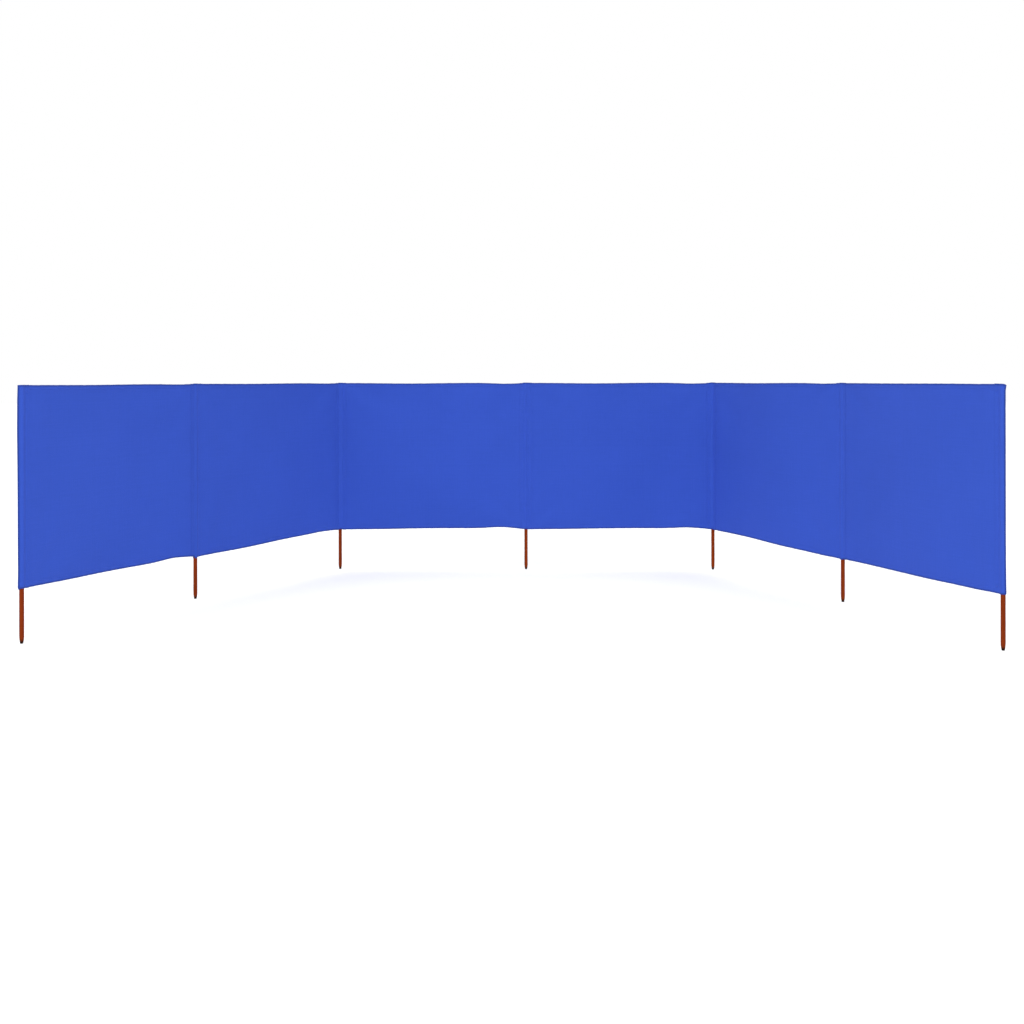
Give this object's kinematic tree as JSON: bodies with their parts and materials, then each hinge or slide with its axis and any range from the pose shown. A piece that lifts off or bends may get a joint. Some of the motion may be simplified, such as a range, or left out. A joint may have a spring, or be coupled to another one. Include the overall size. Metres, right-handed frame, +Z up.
{
  "type": "beach windbreak",
  "caption": "Strip of plain blue cloth with wooden poles sewn into sleeves, standing in bays as a low screen that bends forward at its ends.",
  "frame": {"origin": "centre of the flat end of the centre pole's tapered tip (pole_4)", "axes": "+Z up along the poles, +X to the right along the middle bays, +Y to the back; the wings come forward towards -Y"},
  "size_m": [3.769, 1.8828, 1.0018],
  "materials": {
    "cloth": "matt plain-woven polyester, cobalt blue",
    "pole_wood": "red-brown stained round hardwood, satin"
  },
  "bodies": {
    "root": {"pole_1": "pole_wood", "pole_2": "pole_wood", "pole_3": "pole_wood", "pole_4": "pole_wood", "pole_5": "pole_wood", "pole_6": "pole_wood", "pole_7": "pole_wood", "sleeve_1": "cloth", "sleeve_2": "cloth", "sleeve_3": "cloth", "sleeve_4": "cloth", "sleeve_5": "cloth", "sleeve_6": "cloth", "sleeve_7": "cloth", "bay_1": "cloth", "bay_2": "cloth", "bay_3": "cloth", "bay_4": "cloth", "bay_5": "cloth", "bay_6": "cloth", "top_hem_1": "cloth", "top_hem_2": "cloth", "top_hem_3": "cloth", "top_hem_4": "cloth", "top_hem_5": "cloth", "top_hem_6": "cloth", "bottom_hem_1": "cloth", "bottom_hem_2": "cloth", "bottom_hem_3": "cloth", "bottom_hem_4": "cloth", "bottom_hem_5": "cloth", "bottom_hem_6": "cloth"}
  },
  "joints": []
}
